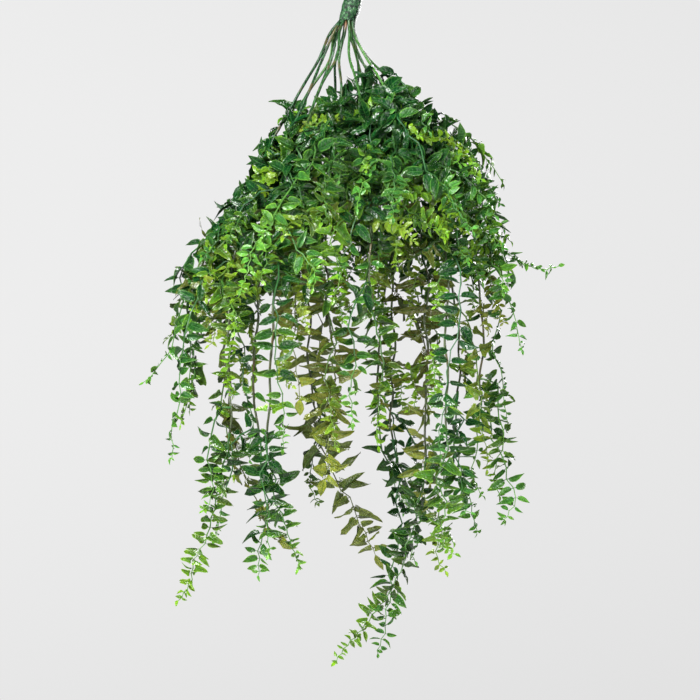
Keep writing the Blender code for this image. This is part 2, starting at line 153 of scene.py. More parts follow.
# at is the share of the stem below the wrap where the rib starts. root and last are the rib's headings
# there and at its tip: (azimuth, degrees below the horizontal). An end spray carries its stem on.
# The tip is (right, back, depth).
Spray = namedtuple("Spray", "stem place kind at root last tip")
SPRAYS = (
    Spray("01", "shoulder", "ovate", 0.44, (235, 55), (200, 75), (-0.160, -0.060, 0.355)),
    Spray("01", "hanging", "ovate", 0.70, (180, 50), (180, 40), (-0.243, -0.020, 0.480)),
    Spray("01", "end", "ivy", 1.00, None, (190, 80), (-0.201, -0.010, 0.529)),
    Spray("02", "shoulder", "ovate", 0.36, (160, 55), (200, 70), (-0.172, -0.070, 0.340)),
    Spray("02", "hanging", "ovate", 0.62, (190, 40), (180, 80), (-0.209, -0.060, 0.566)),
    Spray("02", "end", "ivy", 1.00, None, (175, 60), (-0.199, -0.080, 0.723)),
    Spray("03", "shoulder", "ovate", 0.26, (300, 35), (240, 75), (-0.126, -0.150, 0.378)),
    Spray("03", "hanging", "ovate", 0.60, (270, 45), (250, 85), (-0.080, -0.150, 0.551)),
    Spray("03", "end", "ivy", 1.00, None, (300, 80), (-0.064, -0.140, 0.682)),
    Spray("04", "shoulder", "ovate", 0.20, (350, 35), (285, 80), (0.040, -0.165, 0.301)),
    Spray("04", "hanging", "ivy", 0.55, (240, 40), (250, 80), (-0.025, -0.150, 0.388)),
    Spray("04", "end", "ivy", 1.00, None, (290, 85), (0.024, -0.130, 0.549)),
    Spray("05", "shoulder", "ovate", 0.22, (280, 35), (320, 55), (0.126, -0.156, 0.315)),
    Spray("05", "hanging", "ovate", 0.60, (300, 40), (300, 85), (0.092, -0.130, 0.558)),
    Spray("05", "end", "ivy", 1.00, None, (350, 30), (0.110, -0.100, 0.669)),
    Spray("06", "shoulder", "ivy", 0.27, (280, 30), (0, -25), (0.231, -0.030, 0.347)),
    Spray("06", "hanging", "ovate", 0.55, (355, 30), (0, 70), (0.188, -0.040, 0.443)),
    Spray("06", "end", "ovate", 1.00, None, (190, 60), (0.169, -0.020, 0.638)),
    Spray("07", "shoulder", "ivy", 0.20, (330, 30), (20, 60), (0.174, 0.070, 0.247)),
    Spray("07", "hanging", "ovate", 0.60, (20, 40), (10, 80), (0.181, 0.090, 0.532)),
    Spray("07", "end", "ovate", 1.00, None, (300, 75), (0.144, 0.095, 0.661)),
    Spray("08", "shoulder", "ovate", 0.26, (0, 25), (60, 60), (0.110, 0.150, 0.220)),
    Spray("08", "hanging", "ivy", 0.60, (40, 40), (60, 85), (0.103, 0.180, 0.504)),
    Spray("08", "end", "ivy", 1.00, None, (0, 60), (0.118, 0.140, 0.676)),
    Spray("09", "shoulder", "ovate", 0.26, (175, 30), (130, 60), (-0.086, 0.150, 0.250)),
    Spray("09", "hanging", "olive", 0.60, (100, 40), (90, 85), (-0.038, 0.180, 0.541)),
    Spray("09", "end", "olive", 1.00, None, (0, 70), (0.024, 0.130, 0.691)),
    Spray("10", "shoulder", "ovate", 0.33, (200, 55), (160, 75), (-0.125, 0.100, 0.300)),
    Spray("10", "hanging", "ivy", 0.55, (165, 35), (170, 60), (-0.225, 0.080, 0.431)),
    Spray("10", "end", "olive", 1.00, None, (10, 50), (-0.089, 0.090, 0.669)),
    Spray("11", "shoulder", "ovate", 0.34, (260, 35), (210, 75), (-0.105, -0.090, 0.332)),
    Spray("11", "hanging", "ovate", 0.60, (150, 45), (170, 85), (-0.123, 0.030, 0.571)),
    Spray("11", "end", "ovate", 1.00, None, (190, 80), (-0.111, -0.040, 0.699)),
    Spray("12", "shoulder", "ivy", 0.27, (262, 30), (255, 75), (-0.037, -0.165, 0.306)),
    Spray("12", "hanging", "olive", 0.55, (170, 45), (180, 85), (-0.064, -0.020, 0.500)),
    Spray("12", "end", "olive", 1.00, None, (290, 80), (-0.035, -0.070, 0.588)),
    Spray("13", "shoulder", "ovate", 0.26, (30, 30), (335, 75), (0.126, -0.050, 0.345)),
    Spray("13", "hanging", "ivy", 0.60, (20, 45), (0, 85), (0.147, -0.060, 0.578)),
    Spray("13", "end", "ivy", 1.00, None, (205, 45), (-0.024, -0.060, 0.794)),
    Spray("14", "shoulder", "ivy", 0.30, (110, 35), (60, 80), (0.077, 0.100, 0.335)),
    Spray("14", "hanging", "olive", 0.65, (330, 45), (0, 85), (0.080, 0.020, 0.617)),
    Spray("14", "end", "ovate", 1.00, None, (200, 75), (0.025, -0.020, 0.790)),
)

# A leaf's outline from the foot of its stalk to its tip, in leaf lengths: half width, how far along its
# edge is, and how far along its midrib is.
OVATE = (
    (0.016, -0.16, -0.16),
    (0.020, -0.01, 0.00),
    (0.155, 0.04, 0.10),
    (0.225, 0.20, 0.26),
    (0.240, 0.42, 0.46),
    (0.200, 0.66, 0.69),
    (0.095, 0.85, 0.87),
    (0.000, 1.00, 1.00),
)
IVY = (
    (0.016, -0.18, -0.18),
    (0.022, 0.00, 0.00),
    (0.245, -0.09, 0.08),
    (0.330, 0.04, 0.17),
    (0.225, 0.25, 0.31),
    (0.200, 0.46, 0.49),
    (0.165, 0.70, 0.72),
    (0.095, 0.89, 0.90),
    (0.000, 1.00, 1.00),
)
BROAD_IVY = (
    (0.014, -0.14, -0.14),
    (0.020, 0.00, 0.00),
    (0.185, -0.04, 0.08),
    (0.225, 0.12, 0.20),
    (0.185, 0.33, 0.38),
    (0.165, 0.57, 0.60),
    (0.105, 0.82, 0.84),
    (0.000, 1.00, 1.00),
)
SICKLE = (
    (0.016, -0.16, -0.16),
    (0.020, -0.01, 0.00),
    (0.120, 0.06, 0.11),
    (0.165, 0.23, 0.28),
    (0.160, 0.43, 0.47),
    (0.115, 0.64, 0.68),
    (0.055, 0.83, 0.86),
    (0.000, 1.00, 1.00),
)
LEAFLET = (
    (0.030, -0.10, -0.10),
    (0.220, 0.14, 0.20),
    (0.280, 0.42, 0.46),
    (0.170, 0.74, 0.76),
    (0.000, 1.00, 1.00),
)
# outline, columns across, how far it may bend to the side, how wavy its edges are
LeafShape = namedtuple("LeafShape", "outline columns bend wave")
LEAF_SHAPES = {
    "ovate": LeafShape(OVATE, 4, 0.20, 0.02),
    "ivy": LeafShape(IVY, 4, 0.24, 0.05),
    "broad_ivy": LeafShape(BROAD_IVY, 4, 0.14, 0.08),
    "sickle": LeafShape(SICKLE, 4, 0.30, 0.02),
    "leaflet": LeafShape(LEAFLET, 2, 0.10, 0.00),
}
LEAF_VARIANTS = 9
LEAF_THICKNESS = 0.022  # in leaf lengths
LEAF_BULGE = 0.018  # how far its halves stand up between midrib and edge, in leaf lengths
# From the least to the most:
LEAF_CURL = (-0.10, 0.55)  # how far its tip hangs, in leaf lengths
LEAF_FOLD = (0.10, 0.85)  # how steeply its halves stand up
LEAF_TWIST = (-0.7, 0.7)  # at its tip, in radians
LEAF_WIDTH = (0.92, 1.22)  # as a share of its outline's, for both halves
HALF_WIDTH = (0.75, 1.1)  # as a share of that, for each
LEAF_WAVES = (7, 11)  # along its edges, in radians per leaf length
LEAFLET_BELOW = 0.0090  # shorter leaves are made with fewer faces

# What grows on a rib: leaf shapes, first and last leaf length, first and last gap between pairs,
# tone (0 blue-green, 0.5 green, 1 olive) and age at the root (0 old and dark, 1 young and pale).
Leafing = namedtuple("Leafing", "shapes first last gap last_gap tone young")
LEAFINGS = {
    "ovate": Leafing(("ovate", "ovate", "ovate", "sickle"), 0.0225, 0.0055, 0.0138, 0.0044, 0.08, 0.00),
    "ivy": Leafing(("ivy", "ivy", "broad_ivy", "sickle"), 0.0212, 0.0060, 0.0125, 0.0048, 0.50, 0.08),
    "olive": Leafing(("broad_ivy",), 0.0315, 0.0160, 0.0165, 0.0100, 1.00, 0.00),
    "feather": Leafing(("leaflet",), 0.0110, 0.0050, 0.0060, 0.0034, 0.60, 0.65),
}


# ---- Settings ----


def swatch(name, description, default):
    """A colour that the user may change."""
    return FloatVectorProperty(name=name, description=description, default=default, subtype="COLOR")


class FernTrunkSettings(bpy.types.PropertyGroup):
    tape_pitch: FloatProperty(
        name="Tape pitch", description="How far each turn of the tape lies below the last", default=0.012,
        unit="LENGTH",
    )
    tape_step: FloatProperty(
        name="Tape step", description="How far a turn's edge stands off the next turn", default=0.0005,
        unit="LENGTH",
    )
    tape_colour: swatch("Tape", "Middle colour of the tape", (0.010, 0.062, 0.020))
    wire_colour: swatch("Wire", "Middle colour of the coated wire", (0.014, 0.048, 0.018))


class FernLeafSettings(bpy.types.PropertyGroup):
    size: FloatProperty(name="Leaf size", description="Scale of every leaf", default=1.0, subtype="FACTOR")
    old_blue: swatch("Old, blue-green", "Old leaves of the blue-green sprays", (0.002, 0.040, 0.007))
    old_green: swatch("Old, green", "Old leaves of the green sprays", (0.006, 0.036, 0.003))
    old_olive: swatch("Old, olive", "Old leaves of the olive sprays", (0.112, 0.116, 0.020))
    young_blue: swatch("Young, blue-green", "Young leaves of the blue-green sprays", (0.098, 0.350, 0.048))
    young_green: swatch("Young, green", "Young leaves of the green sprays", (0.235, 0.490, 0.014))
    young_olive: swatch("Young, olive", "Young leaves of the olive sprays", (0.270, 0.310, 0.035))


class FernStageSettings(bpy.types.PropertyGroup):
    backdrop: FloatProperty(
        name="Backdrop", description="Brightness of the plain surroundings", default=0.80, subtype="FACTOR"
    )
    glow: FloatProperty(
        name="Surrounding glow", default=0.025, subtype="FACTOR",
        description="Light that the surroundings give, as a share of how bright they look",
    )
    key_power: FloatProperty(name="Main light", description="Its power", default=132.0, subtype="POWER")
    fill_power: FloatProperty(name="Side light", description="Its power", default=19.0, subtype="POWER")
    left_power: FloatProperty(name="Left light", description="Its power", default=20.0, subtype="POWER")
    low_power: FloatProperty(name="Low light", description="Its power", default=28.0, subtype="POWER")
    back_power: FloatProperty(name="Back light", description="Its power", default=60.0, subtype="POWER")
    floor_depth: FloatProperty(
        name="Floor", description="How far the floor lies below the trunk's upper end", default=2.30,
        unit="LENGTH",
    )


# ---- Routes of wires and ribs ----


def heading(azimuth, pitch):
    """Unit vector at this azimuth, pitch degrees below the horizontal."""
    turn, dip = math.radians(azimuth), math.radians(pitch)
    return Vector((math.cos(turn) * math.cos(dip), math.sin(turn) * math.cos(dip), -math.sin(dip)))


def clamped(value, low=0, high=1):
    return min(max(value, low), high)


def eased(share):
    return share * share * (3 - 2 * share)


def trunk_axis(depth):
    """Centre of the trunk at this depth below its upper end. It bends more and more to the left."""
    share = clamped(depth / TRUNK_LENGTH)
    return Vector((-TRUNK_LEAN * share**2, 0, -depth))


def leftness(way):
    """0 on the right side of the bunch, 1 on its left."""
    return (1 - way.x / max(math.hypot(way.x, way.y), 1e-6)) / 2


def spline_point(points, span, share):
    """Catmull-Rom point within one span of a list of points."""
    before = points[max(span - 1, 0)]
    start, end = points[span], points[span + 1]
    after = points[min(span + 2, len(points) - 1)]
    return (
        start
        + (end - before) * (share / 2)
        + (before - start * 2.5 + end * 2 - after / 2) * share**2
        + (start * 1.5 - before / 2 - end * 1.5 + after / 2) * share**3
    )


def evenly_spaced(points, count, fineness=40):
    """count points at equal distances along the smooth curve through the given points."""
    spans = range(len(points) - 1)
    fine = [spline_point(points, span, i / fineness) for span in spans for i in range(fineness)]
    return Line(fine + [points[-1]]).spaced(count)


class Line:
    """A route that can be read at any distance along it."""

    def __init__(self, points):
        self.points = points
        self.travelled = [0.0]
        for a, b in zip(points, points[1:]):
            self.travelled.append(self.travelled[-1] + (b - a).length)
        self.length = self.travelled[-1]
        self.at = 0

    def read(self, distance):
        """The place at this distance, and the way along the route there."""
        if self.travelled[self.at] > distance:
            self.at = 0
        while self.at < len(self.points) - 2 and self.travelled[self.at + 1] < distance:
            self.at += 1
        a, b = self.points[self.at], self.points[self.at + 1]
        step = self.travelled[self.at + 1] - self.travelled[self.at]
        share = (distance - self.travelled[self.at]) / step if step else 0
        return a.lerp(b, clamped(share)), (b - a).normalized()

    def spaced(self, count):
        return [self.read(self.length * i / (count - 1))[0] for i in range(count)]


def kinked(place):
    """A place on a wire, moved aside a little: not at all in the fan of wires, and fully lower down."""
    share = clamped((-place.z - 0.12) / 0.15)
    aside = Vector((noise.noise(place * 26), noise.noise(place * 26 + DOWN), 0))
    return place + aside * (WIRE_KINK * share)


def stem_below_wrap(stem):
    """The part of a stem that shows, from the wrap's mouth to its end."""
    out = heading(stem.azimuth, 0)
    side = Vector((-out.y, out.x, 0))
    sway = stem.sway / 1000
    route = [trunk_axis(TRUNK_LENGTH) + out * stem.ring]
    for i, (right, left, depth) in enumerate(STEM_FLARE):
        share = right + (left - right) * leftness(out)
        reach = stem.ring + (stem.reach - stem.ring) * share
        wobble = side * (sway * math.sin(1.9 * i))
        route.append(trunk_axis(depth) + out * reach + wobble)
    flared = STEM_FLARE[-1][2]
    for i, share in enumerate((0.45, 1.0)):
        wobble = side * (sway * math.sin(1.9 * (i + len(STEM_FLARE))))
        route.append(trunk_axis(flared + (stem.drop - flared) * share) + out * stem.reach + wobble)
    return [kinked(place) for place in evenly_spaced(route, STEM_SAMPLES)]


BELOW_WRAP = {label: stem_below_wrap(stem) for label, stem in STEMS.items()}


def stem_radius(share):
    return STEM_RADIUS + (STEM_TIP_RADIUS - STEM_RADIUS) * share


def rib_foot(label, share, aim=None):
    """Where a rib leaves its stem, the way off the stem there and the way it sets out."""
    below = BELOW_WRAP[label]
    at = share * (len(below) - 1)
    index = min(int(at), len(below) - 2)
    along = (below[index + 1] - below[index]).normalized()
    foot = below[index].lerp(below[index + 1], at - index)
    if aim is None:
        return foot + along * GAP, along, along
    off = (aim - along * aim.dot(along)).normalized()
    return foot + off * (stem_radius(share) * 0.6), off, aim


def rib_route(foot, off, aim, tip, last):
    """A rib's centreline: off the stem for a peg's length, then to its tip in a sweep that wanders."""
    peg = foot + off * PEG_LENGTH
    pull = (tip - peg).length
    start, end = (off + aim * 2).normalized() * pull, heading(*last) * pull
    route = [foot, peg]
    waves = pull / RIB_WAVE
    for i in range(1, RIB_SAMPLES - 1):
        t = i / (RIB_SAMPLES - 2)
        place = (
            peg * (1 - 3 * t**2 + 2 * t**3)
            + start * (t - 2 * t**2 + t**3)
            + tip * (3 * t**2 - 2 * t**3)
            + end * (t**3 - t**2)
        )
        stray = RIB_STRAY * math.sin(math.pi * t) ** 0.5
        sideways = noise.noise(Vector((waves * t, peg.x * 40, peg.z * 40)))
        forwards = noise.noise(Vector((peg.x * 40, waves * t, peg.y * 40)))
        route.append(place + Vector((sideways, forwards, 0)) * stray)
    return route


def spray_route(spray):
    aim = heading(*spray.root) if spray.root else None
    right, back, depth = spray.tip
    return rib_route(*rib_foot(spray.stem, spray.at, aim), Vector((right, back, -depth)), spray.last)


# ---- Mesh helpers ----


def mesh_from(name, bm):
    mesh = bpy.data.meshes.new(name)
    bm.to_mesh(mesh)
    bm.free()
    return mesh


def placed(name, data):
    """A new object in the scene."""
    made = bpy.data.objects.new(name, data)
    bpy.context.scene.collection.objects.link(made)
    return made


def add_piece(name, bm, materials, replaced=None, sharp=50):
    """Turns a bmesh into a finished piece that rides with the part."""
    mesh = mesh_from(name, bm)
    mesh.shade_smooth()
    mesh.set_sharp_from_angle(angle=math.radians(sharp))
    piece = placed(name, mesh)
    for made in materials:
        mesh.materials.append(made)
    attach(piece, "root")
    if replaced:
        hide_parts(replaced)


def carried_frames(route):
    """A turn-free frame at each point of a route, with its z axis along the route."""
    frames, across = [], None
    for i, place in enumerate(route):
        along = (route[min(i + 1, len(route) - 1)] - route[max(i - 1, 0)]).normalized()
        if across is None:
            across = along.orthogonal()
        across = (across - along * across.dot(along)).normalized()
        side = along.cross(across)
        frames.append(Matrix((across, side, along)).transposed().to_4x4())
        frames[-1].translation = place
    return frames


def drawn_out(bm, edges):
    """Extrudes a ring of edges in place. Gives the new ring's points and edges, and the faces between."""
    grown = bmesh.ops.extrude_edge_only(bm, edges=edges)["geom"]
    verts = [item for item in grown if isinstance(item, bmesh.types.BMVert)]
    edges = [item for item in grown if isinstance(item, bmesh.types.BMEdge)]
    faces = [item for item in grown if isinstance(item, bmesh.types.BMFace)]
    return verts, [edge for edge in edges if all(vert in verts for vert in edge.verts)], faces


def sweep(bm, route, radii, sides, material_index=0):
    """Draws a round section along a route, closes both ends and returns the rings of points."""
    places = [frame @ Matrix.Diagonal((r, r, 1, 1)) for frame, r in zip(carried_frames(route), radii)]
    first = bmesh.ops.create_circle(bm, segments=sides, radius=1.0, matrix=places[0])["verts"]
    edges = list({edge for vert in first for edge in vert.link_edges})
    start_edges, rings, faces = edges, [first], []
    for before, place in zip(places, places[1:]):
        verts, edges, between = drawn_out(bm, edges)
        faces += between
        bmesh.ops.transform(bm, matrix=place @ before.inverted(), verts=verts)
        rings.append(verts)
    for loop in (start_edges, edges):
        faces += bmesh.ops.edgeloop_fill(bm, edges=loop)["faces"]
    for face in faces:
        face.material_index = material_index
    bmesh.ops.recalc_face_normals(bm, faces=faces)
    return rings


# ---- Leaves ----


def shaped_leaf(name, shape, rng):
    """One moulded leaf, a unit long: its stalk's foot at the origin, pointing along +Y, upper side +Z."""
    curl = rng.uniform(*LEAF_CURL)
    fold = rng.uniform(*LEAF_FOLD)
    bend = rng.uniform(-shape.bend, shape.bend)
    twist = rng.uniform(*LEAF_TWIST)
    width = rng.uniform(*LEAF_WIDTH)
    lobes = rng.uniform(*HALF_WIDTH), rng.uniform(*HALF_WIDTH)
    phase, waves = rng.uniform(0, math.tau), rng.uniform(*LEAF_WAVES)
    rows = len(shape.outline) - 1
    bm = bmesh.new()
    bm.loops.layers.uv.new("leaf_uv")
    bmesh.ops.create_grid(bm, x_segments=shape.columns, y_segments=rows, size=1.0, calc_uvs=True)
    foot = -shape.outline[0][1]
    for vert in bm.verts:
        across, row = vert.co.x, round((vert.co.y + 1) / 2 * rows)
        half, edge_at, rib_at = shape.outline[row]
        half *= width * lobes[across > 0]
        share = abs(across)
        along = rib_at + (edge_at - rib_at) * share
        x = across * half + bend * max(along, 0) ** 2
        z = fold * share * half - curl * max(along, 0) ** 2
        z += shape.wave * share * math.sin(waves * along + phase + (math.pi if across > 0 else 0))
        z += math.tan(twist * max(along, 0)) * across * half
        if 0 < share < 1:
            z += LEAF_BULGE
        vert.co = Vector((x, along + foot, z))
    lower = bmesh.ops.duplicate(bm, geom=bm.verts[:] + bm.edges[:] + bm.faces[:])["geom"]
    faces = [item for item in lower if isinstance(item, bmesh.types.BMFace)]
    bmesh.ops.reverse_faces(bm, faces=faces)
    for face in faces:
        face.material_index = 1
    for item in lower:
        if isinstance(item, bmesh.types.BMVert) and not item.is_boundary:
            item.co.z -= LEAF_THICKNESS
    bmesh.ops.remove_doubles(bm, verts=bm.verts, dist=1e-4)
    return mesh_from(name, bm)


LEAVES = {}  # the shaped leaves of each kind, once they are made


def leaf_variants(shape_name):
    if shape_name not in LEAVES:
        rng = random.Random(f"{shape_name} leaf")
        shape = LEAF_SHAPES[shape_name]
        LEAVES[shape_name] = [shaped_leaf(f"{shape_name}_{i}", shape, rng) for i in range(LEAF_VARIANTS)]
    return LEAVES[shape_name]


def new_growth():
    """An empty bmesh with the layers that leaves and ribs share."""
    bm = bmesh.new()
    bm.loops.layers.uv.new("leaf_uv")
    bm.verts.layers.float.new("age")
    bm.verts.layers.float.new("tone")
    return bm


def paint(bm, verts, age, tone):
    ages, tones = bm.verts.layers.float["age"], bm.verts.layers.float["tone"]
    for vert in verts:
        vert[ages] = age
        vert[tones] = tone


def facing(place):
    """The way that leaves here turn their upper sides: outwards and upwards, and rather to the front."""
    out = Vector((0.5 * (place.x + TRUNK_LEAN), place.y - 0.10, 0)).normalized()
    out.z = 0.35
    return out.normalized()


def set_leaf(bm, shape_name, place, out, up, length, age, tone, rng, breadth=1.0):
    """Copies a shaped leaf onto a rib: its stalk's foot at place, its tip along out."""
    side = out.cross(up).normalized()
    up = side.cross(out).normalized()
    turned = Matrix((side * (length * breadth), out * length, up * length)).transposed().to_4x4()
    turned.translation = place
    known = len(bm.verts)
    bm.from_mesh(rng.choice(leaf_variants(shape_name)))
    bm.verts.ensure_lookup_table()
    verts = bm.verts[known:]
    bmesh.ops.transform(bm, matrix=turned, verts=verts)
    paint(bm, verts, age, tone)


CROWN_EDGE = 0.33  # depth below which leaves stand as on loose strands
CROWN_BLEND = 0.10  # over this height above it they come to stand as in the crown
MISSING = 0.07  # share of leaves left out
TURNED_DOWN = 0.72  # share of leaves past the crown's outline that hang instead
FRESHER = 0.55  # how much younger the others are, on the right
ZIGZAG = 0.0011  # how far pairs stand off a rib, to one side and then to the other
GAP_SPREAD = (0.85, 1.15)  # the least and the most, as a share of the usual gap
LENGTH_SPREAD = (0.78, 1.18)  # the same for a leaf's length
RAKE = (-0.35, 0.60)  # how far a leaf leans back or on along its rib, in radians
CROWN_RAKE = 0.25  # how much further either way in the crown
PAIR_ROLL = 0.6  # how far a rib's pairs are rolled round it at most, in radians
PAIR_SWING = 0.45  # how far they swing to either side of that along it
SWING_RATE = (8, 20)  # in radians per metre
LEAF_ROLL = 0.55  # how far a leaf is rolled and dipped, as a rule, in radians
LEAF_DIP = 0.40
OUTWARDS = 0.7  # how far leaves in the crown turn their upper sides outwards, as a share
BROADER = 0.12  # how much broader they are
BLUER = 0.15  # how much bluer they are near a rib's root
TONE_SPREAD = 0.07  # how far leaves differ from their neighbours, as a rule
AGE_SPREAD = 0.06


def leaf_out(
    bm, line, kind, rng, start, age=0.0, tone=0.0, full=1.0, last=None, rib=True, taper=1.8, apart=1.0
):
    """Grows pairs of leaves along a line from start metres on, with their rib if it has one of its own.

    age and tone are added to those of the kind, full scales its first leaves and apart its gaps. The leaves
    stay long for longer where taper is high.
    """
    leafing = LEAFINGS[kind]
    size = bpy.context.scene.fern_leaves.size
    first = leafing.first * full * size
    last = (leafing.last if last is None else last) * size
    places, distance = [], start
    while distance < line.length - 0.001:
        share = distance / line.length
        places.append(distance)
        gap = leafing.gap + (leafing.last_gap - leafing.gap) * share ** (0.6 * taper)
        distance += gap * apart * rng.uniform(*GAP_SPREAD)
    roll, swing_rate = rng.uniform(-PAIR_ROLL, PAIR_ROLL), rng.uniform(*SWING_RATE)
    phase = rng.uniform(0, math.tau)
    nodes = []
    for i, distance in enumerate(places):
        share = distance / line.length
        place, along = line.read(distance)
        outward = facing(place)
        across = along.cross(outward)
        if across.length < 0.05:
            across = along.orthogonal()
        across.normalize()
        turn = Quaternion(along, roll + PAIR_SWING * math.sin(phase + swing_rate * distance))
        across = turn @ across
        up = across.cross(along)
        shift = across * (ZIGZAG * (-1) ** i) if rib else Vector()
        nodes.append((distance, place + shift, share))
        crown = clamped((CROWN_EDGE + place.z) / CROWN_BLEND)
        length = last + (first - last) * (1 - share**taper)
        leaf_age = leafing.young + age * (0.4 + 0.6 * share) + (1 - leafing.young) * 0.8 * share**2.6
        leaf_age = min(1.0, leaf_age)
        for side in (-1, 1):
            if rng.random() < MISSING:
                continue
            rake = rng.uniform(RAKE[0] - CROWN_RAKE * crown, RAKE[1] + CROWN_RAKE * crown)
            raised = (0.10 + 0.40 * (1 - leftness(place))) * crown - 0.05
            out = across * (side * math.cos(rake)) + along * math.sin(rake) - DOWN * raised
            out.normalize()
            fresher = 0.0
            if stands_out(place + out * length):
                if rng.random() < TURNED_DOWN:
                    out = (out * 0.3 + DOWN).normalized()
                else:
                    fresher = FRESHER * (1 - leftness(place))
            lifted = Quaternion(out, rng.gauss(0, LEAF_ROLL)) @ up.lerp(outward, OUTWARDS * crown)
            dip = Quaternion(out.cross(lifted), rng.gauss(0, LEAF_DIP))
            out, lifted = dip @ out, dip @ lifted
            grown = length * rng.uniform(*LENGTH_SPREAD)
            shape_name = "leaflet" if grown < LEAFLET_BELOW else rng.choice(leafing.shapes)
            leaf_tone = leafing.tone + tone - BLUER * crown * (1 - share) + rng.gauss(0, TONE_SPREAD)
            set_leaf(
                bm, shape_name, place + shift, out, lifted, grown,
                clamped(leaf_age + fresher + rng.gauss(0, AGE_SPREAD)), clamped(leaf_tone), rng,
                breadth=1 + BROADER * crown,
            )
    if rib:
        grow_rib(bm, line, nodes, leafing, age, tone)
        tip, along = line.read(line.length)
        foot = tip - along * 0.001
        set_leaf(bm, "leaflet", foot, along, facing(tip), last * 1.2, 1.0, leafing.tone + tone, rng)


def grow_rib(bm, line, nodes, leafing, age, tone):
    """The rib: a sleeve where it plugs onto the stem, then a slim wire that thickens at each pair."""
    route = [line.read(distance)[0] for distance, _ in RIB_SLEEVE]
    radii = [radius for _, radius in RIB_SLEEVE]
    shares = [0.0] * len(route)
    for (distance, place, share), following in zip(nodes, nodes[1:] + [None]):
        if distance < RIB_SLEEVE[-1][0] + 0.001:
            continue
        radius = RIB_RADIUS - RIB_THINNING * share
        route.append(place)
        radii.append(radius * 1.12)
        shares.append(share)
        if following:
            route.append(place.lerp(following[1], 0.5))
            radii.append(radius * 0.92)
            shares.append(share)
    route.append(line.read(line.length)[0])
    radii.append(RIB_TIP_RADIUS)
    shares.append(1.0)
    rings = sweep(bm, route, radii, sides=5, material_index=2)
    for ring, share in zip(rings, shares):
        ring_age = min(1, leafing.young * 0.7 + age + 0.7 * share**1.6)
        paint(bm, ring, ring_age, clamped(leafing.tone + tone))


# ---- Materials ----


def node(tree, kind, inputs=None, **settings):
    """Adds a node, with its settings and its inputs: sockets are linked and values are set."""
    made = tree.nodes.new(f"ShaderNode{kind}")
    for key, value in settings.items():
        setattr(made, key, value)
    for socket, value in (inputs or {}).items():
        if isinstance(value, bpy.types.NodeSocket):
            tree.links.new(value, made.inputs[socket])
        else:
            made.inputs[socket].default_value = value
    return made


def maths(tree, operation, *values):
    return node(tree, "Math", dict(enumerate(values)), operation=operation).outputs[0]


def times(tree, a, b):
    return maths(tree, "MULTIPLY", a, b)


def ranged(tree, value, low, high, to_low=0.0, to_high=1.0, smooth=False):
    made = node(
        tree, "MapRange", {0: value, 1: low, 2: high, 3: to_low, 4: to_high},
        interpolation_type="SMOOTHSTEP" if smooth else "LINEAR",
    )
    return made.outputs[0]


def mixed(tree, share, a, b, blend="MIX"):
    made = node(tree, "Mix", data_type="RGBA", blend_type=blend)
    for index, value in ((0, share), (6, a), (7, b)):
        if isinstance(value, bpy.types.NodeSocket):
            tree.links.new(value, made.inputs[index])
        else:
            made.inputs[index].default_value = value if index == 0 else (*value[:3], 1)
    return made.outputs[2]


def ramp(tree, value, stops):
    made = node(tree, "ValToRGB", {0: value})
    points = made.color_ramp.elements
    while len(points) < len(stops):
        points.new(1.0)
    for point, (place, colour) in zip(points, stops):
        point.position = place
        point.color = (*colour, 1)
    return made.outputs[0]


def shaded(tree, colour, value, dark, light):
    """Darkens a colour where value is low and lightens it where it is high. Each end is (value, factor)."""
    stops = [(at, (factor,) * 3) for at, factor in (dark, light)]
    return mixed(tree, 1.0, colour, ramp(tree, value, stops), "MULTIPLY")


def noisy(tree, place, scale, detail):
    return node(tree, "TexNoise", {"Vector": place, "Scale": scale, "Detail": detail}).outputs["Fac"]


def drawn(tree, place, share, turn=(0, 0, 0)):
    """A place squeezed along Z, so that a pattern on it looks drawn out lengthways."""
    return node(tree, "Mapping", {"Vector": place, "Rotation": turn, "Scale": (1, 1, share)}).outputs[0]


def painted(tree, layer):
    return node(tree, "Attribute", attribute_name=layer).outputs["Fac"]


def new_material(name):
    made = bpy.data.materials.new(name)
    made.use_nodes = True
    return made, made.node_tree, made.node_tree.nodes["Principled BSDF"]


def connect(tree, shader, colour, roughness, height, distance, strength):
    tree.links.new(colour, shader.inputs["Base Color"])
    tree.links.new(roughness, shader.inputs["Roughness"])
    bump = node(tree, "Bump", {"Height": height, "Distance": distance, "Strength": strength})
    tree.links.new(bump.outputs[0], shader.inputs["Normal"])


def leaf_colour(tree, tints):
    """Colour by age and tone, clouded as moulded plastic is. Gives the place, age and tone as well."""
    age = painted(tree, "age")
    tone = painted(tree, "tone")
    old = ramp(tree, tone, [(0.0, tints[0]), (0.5, tints[1]), (1.0, tints[2])])
    young = ramp(tree, tone, [(0.0, tints[3]), (0.5, tints[4]), (1.0, tints[5])])
    colour = mixed(tree, maths(tree, "POWER", age, 1.4), old, young)
    place = node(tree, "TexCoord").outputs["Object"]
    colour = shaded(tree, colour, noisy(tree, place, 150.0, 4.0), (0.3, 0.66), (0.7, 1.32))
    return colour, place, age, tone


